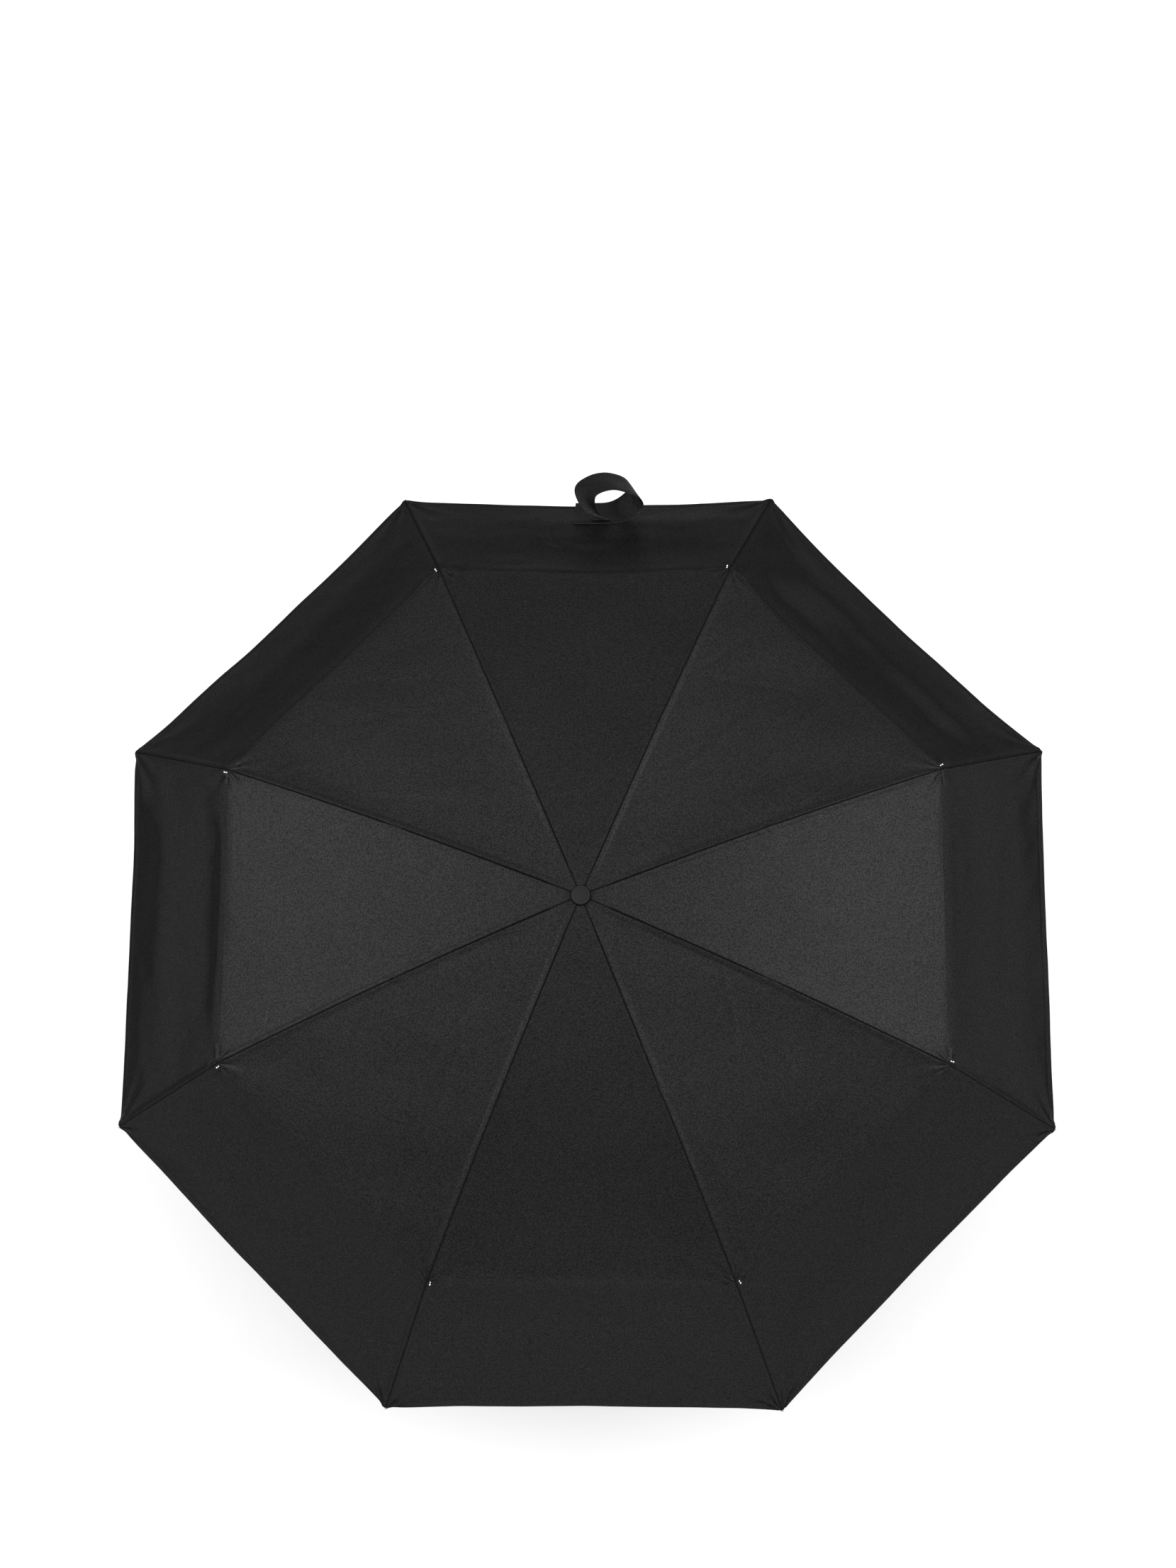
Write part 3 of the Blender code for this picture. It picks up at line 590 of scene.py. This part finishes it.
def creases(rng, x, y, count, reach):
    """Faint straight creases, each over a short stretch."""
    total = np.zeros_like(x)
    for _ in range(count):
        at_x, at_y = rng.uniform(-reach, reach), rng.uniform(-430, 140)
        angle, length = rng.normal(math.pi / 2, 0.5), rng.uniform(25, 80)
        along = (x - at_x) * math.cos(angle) + (y - at_y) * math.sin(angle)
        across = -(x - at_x) * math.sin(angle) + (y - at_y) * math.cos(angle)
        across = across + 3.0 * np.sin(along / 21.0)
        total += rng.choice((-1, 1)) * np.exp(-((across / 2.6) ** 2)) * np.exp(-((along / length) ** 2))
    return total


def puckers(d, y, reach, folds, phase):
    """Short folds that run out from a fixing on the rib."""
    far = np.hypot(d, y)
    return np.exp(-far / reach) * smooth(d / 3.0) * np.cos(folds * np.arctan2(y, d) + phase)


def ridge(x, half_width):
    """1 at x = 0, falling to nothing beyond a few half widths."""
    return np.exp(-((x / half_width) ** 2))


def seam_shown(q):
    """Grows from 0 to 1 where the seams come out from the crown."""
    return smooth((q - START_Q - SEAM_START) / SEAM_FADE)


def seam_depth(q):
    """How deep the stitched line lies over a rib: nothing at the crown, the knee and the elbow."""
    fixings = ridge(q - KNEE_Q, FIXING_REACH) + ridge(q - 1.0, FIXING_REACH)
    return SEAM_DEPTH * (1 - np.minimum(fixings, 1)) * seam_shown(q)


def seam_relief(share, q, width):
    """The cloth drops from its crest over the rib, with a stitched groove and the allowance on one side."""
    d = np.minimum(share, 1 - share) * width
    height = 0.8 * smooth((q - START_Q) / 90.0) + 0.2 * smooth((q + 10) / 60.0)
    reach = 7.5 + 3.0 * smooth((q - 20) / 140.0)
    reach = np.minimum(reach, width * 0.3 + 0.4)
    total = -height * smooth(d / reach) * np.minimum(1, width / 60.0)
    total -= seam_depth(q) * ridge(d, SEAM_HALF_WIDTH)
    allowance = smooth((ALLOWANCE_WIDTH - (1 - share) * width) / 1.6)
    return total + ALLOWANCE_HEIGHT * allowance * smooth(d / 1.2) * seam_shown(q)


def outer_relief(panel, x, q, d):
    """The bend's pressed line, then broad swells and fine bands that run along the hem."""
    pressed = 0.3 * ridge(q + 1.5, 1.6) * smooth(d / 14.0) * (0.6 + 0.4 * np.sin(x / 31.0 + 2 * panel))
    swing = 1.0 + 0.3 * np.sin(2.4 * panel + x / 110.0)
    swell = np.sin(q / 24.0 + 0.3 * np.sin(x / 90.0 + panel)) * smooth(q / 24.0) * smooth(d / 75.0)
    bands = np.sin((HEM_Q - q) / 8.5 + 1.1 * np.sin(x / 95.0 + panel) + 2.1 * panel)
    bands = bands * smooth((q - 8) / 30.0) * smooth(d / 22.0) * np.cos(x / 160.0)
    return pressed - 1.1 * swing * swell + 0.16 * bands


def relief(panel, share, q, width):
    """How far the cloth stands off its plain shape, in millimetres."""
    rng = np.random.RandomState(RELIEF_SEED + panel)
    d = np.minimum(share, 1 - share) * width
    x = (share - 0.5) * width
    hem = HEM_Q - q
    clear = smooth(d / 22.0) * smooth((q - START_Q - 12) / 60.0)
    total = seam_relief(share, q, width) + outer_relief(panel, x, q, d)
    total += 0.5 * wandering(rng, x, q, 80, 190, 5) * clear
    total += 0.09 * wandering(rng, x, q, 26, 55, 5) * clear
    total += 0.24 * creases(rng, x, q, 15, 150) * clear
    for side, near in enumerate((share * width, (1 - share) * width)):
        phase = rng.uniform(0, 6)
        total += 1.5 * puckers(near, q, 11.0, 7 + side, phase)
        total += 0.6 * puckers(near, q - KNEE_Q, 5.0, 6, phase + 1)
        corner = np.exp(-np.hypot(near, hem) / 26.0) * smooth(near / 5.0)
        total += corner * np.sin(9 * np.arctan2(hem + 1, near) + phase)
    return total - 0.35 * ridge(hem - HEM_STITCH, 0.9) * smooth(d / 4.0)


def canopy_grid():
    """The whole cloth by (column, row): points, plain points, the seams' painted-shade mask, and the row
    where each part ends.
    """
    rows, under, ends = row_places()
    shares = half_shares()
    n = HALF_COLUMNS
    points = np.zeros((2 * n * RIBS, len(rows), 3))
    plain = np.zeros_like(points)
    seams = np.zeros(points.shape[:2])
    for panel in range(RIBS):
        share = np.concatenate([shares, 1 - shares[-2::-1]])[:, None]
        half = np.concatenate([np.arange(n + 1), np.arange(n - 1, -1, -1)])
        q = rows[:, half].T
        first, last = (math.radians(rib_azimuth(panel + k)) for k in (0, 1))
        middle = (first + last) / 2
        edge = np.minimum(share, 1 - share)
        near = edge * CHORD_SHARE * rib_line(q, HINGE_BEND)[0]
        bend = SEAM_BEND + (PANEL_BEND - SEAM_BEND) * smooth(near / BEND_REACH)
        r, z, slope = rib_line(q, bend)
        width = CHORD_SHARE * r
        x = r * (math.cos(first) * (1 - share) + math.cos(last) * share)
        y = r * (math.sin(first) * (1 - share) + math.sin(last) * share)
        tilt = np.arctan(np.tan(slope) / math.cos(math.radians(HALF_STEP)))
        off = relief(panel, share, q, width)
        off -= 4 * share * (1 - share) * SAG * r * SAG_OF_PANEL[panel]
        off -= under[None, :]
        lean = np.sin(tilt)
        normal = np.stack([lean * math.cos(middle), lean * math.sin(middle), np.cos(tilt)], axis=2)
        base = np.stack([x, y, z], axis=2)
        full = base + normal * off[:, :, None]
        # Painted shade: a dark line in each seam's groove, and a painted shadow on the cloth round and under
        # the cap.
        cap_shade = smooth((CAP_SHADE_RADIUS - r) / CAP_SHADE_FADE)
        stitched = np.maximum(ridge(edge * width, SEAM_HALF_WIDTH), cap_shade)
        start = panel * 2 * n
        for k in range(2 * n + 1):
            column = (start + k) % (2 * n * RIBS)
            plain[column] = base[k]
            seams[column] = stitched[k]
            if k == 0 or k == 2 * n:
                points[column] = base[k] - (under + seam_depth(q[k]))[:, None] * np.array((0, 0, 1.0))
            else:
                points[column] = full[k]
    return points, plain, seams, ends


def grid_normals(points):
    """Vertex normals of the closed-round grid."""
    ahead = np.roll(points, -1, axis=0) - np.roll(points, 1, axis=0)
    down = np.gradient(points, axis=1)
    normals = np.cross(down, ahead)
    length = np.linalg.norm(normals, axis=2, keepdims=True)
    return normals / np.maximum(length, 1e-9)


def grid_piece(name, points, normals, seams, columns, rows):
    """A piece of cloth from the part of the grid over these columns and rows."""
    count = len(rows)
    taken = np.ix_([c % len(points) for c in columns], rows)
    part, part_normals = points[taken].reshape(-1, 3), normals[taken].reshape(-1, 3)
    faces = [
        (c * count + r, c * count + r + 1, (c + 1) * count + r + 1, (c + 1) * count + r)
        for c in range(len(columns) - 1)
        for r in range(count - 1)
    ]
    return new_piece(name, part, faces, CLOTH, part_normals, seams[taken].ravel())


def flat_size(plain, columns, rows):
    """Width, length and area in metres of a part as it is cut, before seams, sag and folds."""
    part = plain[np.ix_([c % len(plain) for c in columns], rows)] * MM
    a, b = part[1:, :-1] - part[:-1, :-1], part[:-1, 1:] - part[:-1, :-1]
    c, d = part[1:, :-1] - part[1:, 1:], part[:-1, 1:] - part[1:, 1:]
    area = (np.linalg.norm(np.cross(a, b), axis=2) + np.linalg.norm(np.cross(c, d), axis=2)).sum() / 2
    widths = np.linalg.norm(np.diff(part, axis=0), axis=2).sum(axis=0)
    lengths = np.linalg.norm(np.diff(part, axis=1), axis=2).sum(axis=1)
    return float(widths.max()), float(lengths.max()), float(area)


def rib_axes(i, slope):
    """Along the rib, along its hinge pins, and off the cloth's side."""
    a = math.radians(rib_azimuth(i))
    out = np.array((math.cos(a), math.sin(a), 0))
    tangent = np.array((-math.sin(a), math.cos(a), 0))
    up = np.array((0, 0, 1.0))
    c, s = math.cos(math.radians(slope)), math.sin(math.radians(slope))
    return out * c - up * s, tangent, out * s + up * c


def on_rib(i, radius, height):
    a = math.radians(rib_azimuth(i))
    return np.array((radius * math.cos(a), radius * math.sin(a), height))


def gather(piece, i, side, slope, lean, hinge_point, height):
    """Gives a half panel a mesh of its own; the height over its rib's hinge is not used."""
    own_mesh(piece)


def tuck(piece):
    """Gives a piece of the wedge of cloth beyond the elbow's chord a mesh of its own."""
    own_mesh(piece)


def declare(size):
    """Works out a sheet's rounded flat width, length and area, and keeps none of them."""
    width, length, area = size
    width, length = max(round(width, 4), LEAST_SIDE), max(round(length, 4), LEAST_SIDE)
    area = 0.999 * min(area, width * length)


def cover(size):
    """Hides the canopy's CAD part, which the pieces of cloth stand in for, and works out a piece's flat
    size.
    """
    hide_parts("canopy")
    declare(size)


def build_canopy():
    points, plain, seams, ends = canopy_grid()
    normals = grid_normals(points)
    n = HALF_COLUMNS
    last = points.shape[1] - 1
    spans = {
        "top": (ends["crown"], ends["top"], (TOP_SLOPE, TOP_LEAN, CROWN, SEAM_OVER_CROWN)),
        "mid": (ends["top"], ends["mid"], (MID_SLOPE, MID_LEAN, KNEE, SEAM_OVER_KNEE)),
        "outer": (ends["bend"], last, (OUTER_SLOPE, OUTER_SLOPE, ELBOW, SEAM_OVER_ELBOW)),
    }
    sides = ((1, "left"), (-1, "right"))

    def part(name, columns, rows):
        piece = grid_piece(name, points, normals, seams, columns, rows)
        return piece, flat_size(plain, columns, rows)

    for i in range(RIBS):
        middle = i * 2 * n
        columns, rows = range(middle - n, middle + n + 1), range(0, ends["crown"] + 1)
        piece, size = part(f"canopy_crown_{i + 1}", columns, rows)
        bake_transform(piece)
        cover(size)
        for section, (first, final, seat) in spans.items():
            body = f"{section}_rib_{i + 1}"
            for side, label in sides:
                columns = range(middle, middle + n + 1) if side > 0 else range(middle - n, middle + 1)
                piece, size = part(f"canopy_{section}_{i + 1}_{label}", columns, range(first, final + 1))
                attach(piece, body)
                gather(piece, i, side, *seat)
                cover(size)
        body = f"outer_rib_{i + 1}"
        for side, label in sides:
            columns = range(middle + 1, middle + n + 1) if side > 0 else range(middle - n, middle)
            rows = range(ends["mid"], ends["bend"] + 1)
            piece, size = part(f"canopy_bend_{i + 1}_{label}", columns, rows)
            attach(piece, body)
            tuck(piece)
            cover(size)


# Small things on the cloth


def elbow_patch(i):
    """A tab of cloth under the seam at the outer hinge, shaped over its bend."""
    along_in, tangent, off_in = rib_axes(i, MID_SLOPE)
    along_out, _, off_out = rib_axes(i, OUTER_SLOPE)
    centre = on_rib(i, *ELBOW)
    n, m = 24, 6
    points = []
    for k in range(n + 1):
        s = PATCH_LENGTH * (k / n - 0.5)
        bent = smooth(k / n)
        along = along_in if s < 0 else along_out
        off = off_in * (1 - bent) + off_out * bent
        for j in range(m + 1):
            w = PATCH_WIDTH * (j / m - 0.5)
            droop = 0.035 * abs(w) + 0.012 * w * w
            points.append(centre + along * s + off * (PATCH_HEIGHT - droop) + tangent * w)
    faces = [
        (k * (m + 1) + j, (k + 1) * (m + 1) + j, (k + 1) * (m + 1) + j + 1, k * (m + 1) + j + 1)
        for k in range(n) for j in range(m)
    ]
    piece = new_piece(f"elbow_patch_{i + 1}", points, faces, CLOTH)
    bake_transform(piece)


def stud(i):
    """The bright end of the frame's wire, which comes through the seam beside the outer hinge."""
    along, tangent, off = rib_axes(i, ELBOW_SLOPE)
    base = on_rib(i, *ELBOW) + tangent * STUD_ASIDE + off * STUD_HEIGHT

    def at(x, y, z):
        return base + along * x + tangent * y + off * z

    heights = [h for _, h in STUD_PROFILE]
    radii = [r for r, _ in STUD_PROFILE]
    scale = SECOND_STUD_SCALE
    head = tube([at(0.6, 0, 2.9 + h) for h in heights], radii, 14)
    second = tube([at(-1.7, -0.4, 2.6 + scale * h) for h in heights], [scale * r for r in radii], 12)
    neck = tube([at(0.6, 0, 0.2), at(0.6, 0, 1.2), at(0.6, 0, 2.2)], [0.5, 0.42, 0.5], 8)
    shares = np.linspace(0, 1, 9)
    bow = [at(-1.7 + 2.3 * t, -0.4 + 0.4 * t, 2.3 + 0.2 * math.sin(math.pi * t)) for t in shares]
    link_wire = tube(bow, 0.3, 8)
    leg = tube([at(-1.7, -0.4, 0.0), at(-1.7, -0.4, 1.2), at(-1.7, -0.4, 2.2)], [0.3, 0.3, 0.3], 8)
    points, faces = merged([head, second, neck, link_wire, leg])
    piece = new_piece(f"stud_{i + 1}", points, faces, STUD_METAL)
    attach(piece, f"mid_rib_{i + 1}")


# Tie strap


def catmull(points, steps):
    """A smooth curve through points, with steps to each stretch."""
    points = np.asarray(points, float)
    out = []
    for i in range(len(points) - 1):
        a, b, c, d = (points[min(max(i + k, 0), len(points) - 1)] for k in (-1, 0, 1, 2))
        for t in np.arange(steps) / steps:
            out.append(0.5 * (2 * b + (c - a) * t + (2 * a - 5 * b + 4 * c - d) * t**2
                              + (3 * b - a - 3 * c + d) * t**3))
    return np.array(out + [points[-1]])


def strap_frame():
    """Origin and axes of the hem panel that carries the strap: right, down the slope, off the cloth."""
    r, z, _ = rib_line(np.array([HEM_Q]), HINGE_BEND)
    away = r[0] * math.cos(math.radians(HALF_STEP))
    tilt = math.atan(math.tan(math.radians(OUTER_SLOPE)) / math.cos(math.radians(HALF_STEP)))
    right = np.array((1.0, 0, 0))
    slope = np.array((0, math.cos(tilt), -math.sin(tilt)))
    off = np.cross(right, slope)
    share, q = np.meshgrid(np.linspace(0.42, 0.56, 15), np.linspace(HEM_Q - 54, HEM_Q, 30))
    width = CHORD_SHARE * rib_line(q, HINGE_BEND)[0]
    cloth = relief(STRAP_PANEL, share, q, width).max() - SAG * r[0] * SAG_OF_PANEL[STRAP_PANEL]
    return np.array((0, away, z[0])) + off * (cloth - STRAP_CLEARANCE), right, slope, off


def band(name, stations, half, look, sewn=()):
    """A closed band between two edges, with its stitched lines, and its width, length and area."""
    origin, right, slope, off = strap_frame()
    axes = np.stack([right, off, -slope])
    edges = [origin + catmull([s[k] for s in stations], 14) @ axes for k in (0, 1)]
    runs = np.gradient(edges[0] + edges[1], axis=0)
    across = edges[1] - edges[0]
    sides = np.cross(runs, across)
    sides /= np.linalg.norm(sides, axis=1)[:, None]
    widths = np.linalg.norm(across, axis=1)
    middle = (edges[0] + edges[1]) / 2
    lengths = np.concatenate([[0], np.cumsum(np.linalg.norm(np.diff(middle, axis=0), axis=1))])
    total = lengths[-1]
    shares = np.linspace(0, 1, 41)
    points = []
    for face in (1, -1):
        for start, over, side, width, run in zip(edges[0], across, sides, widths, lengths):
            for w in shares:
                edge = min(w, 1 - w) * width
                thick = half * min(1.0, math.sqrt(max(edge, 0.02) / 0.9))
                groove = 0.22 * ridge(edge - EDGE_STITCH, 0.5)
                for stop in sewn:
                    at = stop if stop > 0 else total + stop
                    groove += 0.2 * ridge(run - at, 0.45)
                ripple = 0.3 * math.sin(run / 9.0 + 2.5 * w) * math.sin(math.pi * w)
                points.append(start + over * w + side * (face * (thick - groove) + ripple))
    rows, columns = len(edges[0]), len(shares)
    layer = rows * columns
    faces = []
    for k in range(rows - 1):
        for j in range(columns - 1):
            a = k * columns + j
            faces.append((a, a + columns, a + columns + 1, a + 1))
            faces.append((a + layer, a + layer + 1, a + layer + columns + 1, a + layer + columns))
        for j in (0, columns - 1):
            a, b = k * columns + j, (k + 1) * columns + j
            rim = (a, a + layer, b + layer, b)
            faces.append(rim if j == 0 else rim[::-1])
    for j in range(columns - 1):
        for k in (0, rows - 1):
            a = k * columns + j
            rim = (a, a + 1, a + 1 + layer, a + layer)
            faces.append(rim if k == 0 else rim[::-1])
    piece = new_piece(name, points, faces, look)
    area = float(((widths[1:] + widths[:-1]) / 2 * np.diff(lengths)).sum())
    return piece, (float(widths.max()) * MM, float(total) * MM, area * MM * MM)


def strap():
    strap_band, strap_size = band(
        "tie_strap_band", STRAP_STATIONS, STRAP_HALF_THICKNESS, WEBBING, sewn=STRAP_SEWN)
    tape, _ = band("hook_tape_pad", TAPE_STATIONS, TAPE_HALF_THICKNESS, TAPE)
    uses = ((strap_band, "tie_strap", "strap_cloth"), (tape, "strap_fastener", "hook_tape"))
    for piece, instead, slot in uses:
        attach(piece, f"outer_rib_{STRAP_RIB + 1}")
        gather(piece, STRAP_RIB, 1, OUTER_SLOPE, OUTER_SLOPE, ELBOW, SEAM_OVER_ELBOW)
        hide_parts(instead)
    declare(strap_size)


# Stage


def stage():
    bpy.ops.mesh.primitive_plane_add(size=FLOOR_SIZE, location=(0, 0, -FLOOR_DROP))
    floor = bpy.context.object
    floor.name = "floor"
    made, _ = material("pale_floor", (0.9, 0.9, 0.9), 0.9, specular=0.1)
    floor.data.materials.append(made)


def area_light(name, at, aim, size, power):
    """A rectangular light that the camera doesn't see."""
    light = bpy.data.lights.new(name, "AREA")
    light.shape = "RECTANGLE"
    light.size, light.size_y = size
    light.energy = power
    lamp = bpy.data.objects.new(name, light)
    lamp.location = at
    lamp.rotation_mode = "QUATERNION"
    lamp.rotation_quaternion = (Vector(at) - Vector(aim)).to_track_quat("Z", "Y")
    lamp.visible_camera = False
    bpy.context.scene.collection.objects.link(lamp)


def lights():
    """Two softboxes at the sides, a weaker one overhead, a low fill in front and a white room."""
    area_light("left_softbox", (-2.3, 0.5, 2.5), (0, 0, 0.5), (2.4, 2.4), 70)
    area_light("right_softbox", (2.3, 0.5, 2.5), (0, 0, 0.5), (2.4, 2.4), 78)
    area_light("top_softbox", (0.0, 0.4, 3.6), (0, 0, 0.4), (2.0, 2.0), 16)
    area_light("front_fill", (0.0, -2.8, 1.3), (0, -0.5, 0), (3.0, 1.0), 12)
    world = bpy.data.worlds.new("studio")
    world.use_nodes = True
    background = world.node_tree.nodes["Background"]
    background.inputs["Color"].default_value = (1, 1, 1, 1)
    background.inputs["Strength"].default_value = 0.7
    bpy.context.scene.world = world
    bpy.context.scene.view_settings.view_transform = "Standard"


def camera():
    """The photo's camera: nearly overhead, rolled a little, with the object below the picture's middle."""
    data = bpy.data.cameras.new("camera")
    data.lens = LENS
    data.sensor_width = 36.0
    data.shift_x, data.shift_y = SHIFT
    data.clip_start, data.clip_end = 0.05, 100
    thing = bpy.data.objects.new("camera", data)
    a, e = math.radians(CAMERA_AZIMUTH), math.radians(CAMERA_ELEVATION)
    back = Vector((math.sin(a) * math.cos(e), -math.cos(a) * math.cos(e), math.sin(e)))
    turn = (-back).to_track_quat("-Z", "Y").to_matrix().to_4x4()
    roll = Matrix.Rotation(math.radians(CAMERA_ROLL), 4, "Z")
    thing.matrix_world = Matrix.Translation(LOOK_AT + back * CAMERA_DISTANCE) @ turn @ roll
    bpy.context.scene.collection.objects.link(thing)
    bpy.context.scene.camera = thing


camera()
lights()
stage()
build_canopy()
for rib in range(RIBS):
    elbow_patch(rib)
    stud(rib)
strap()
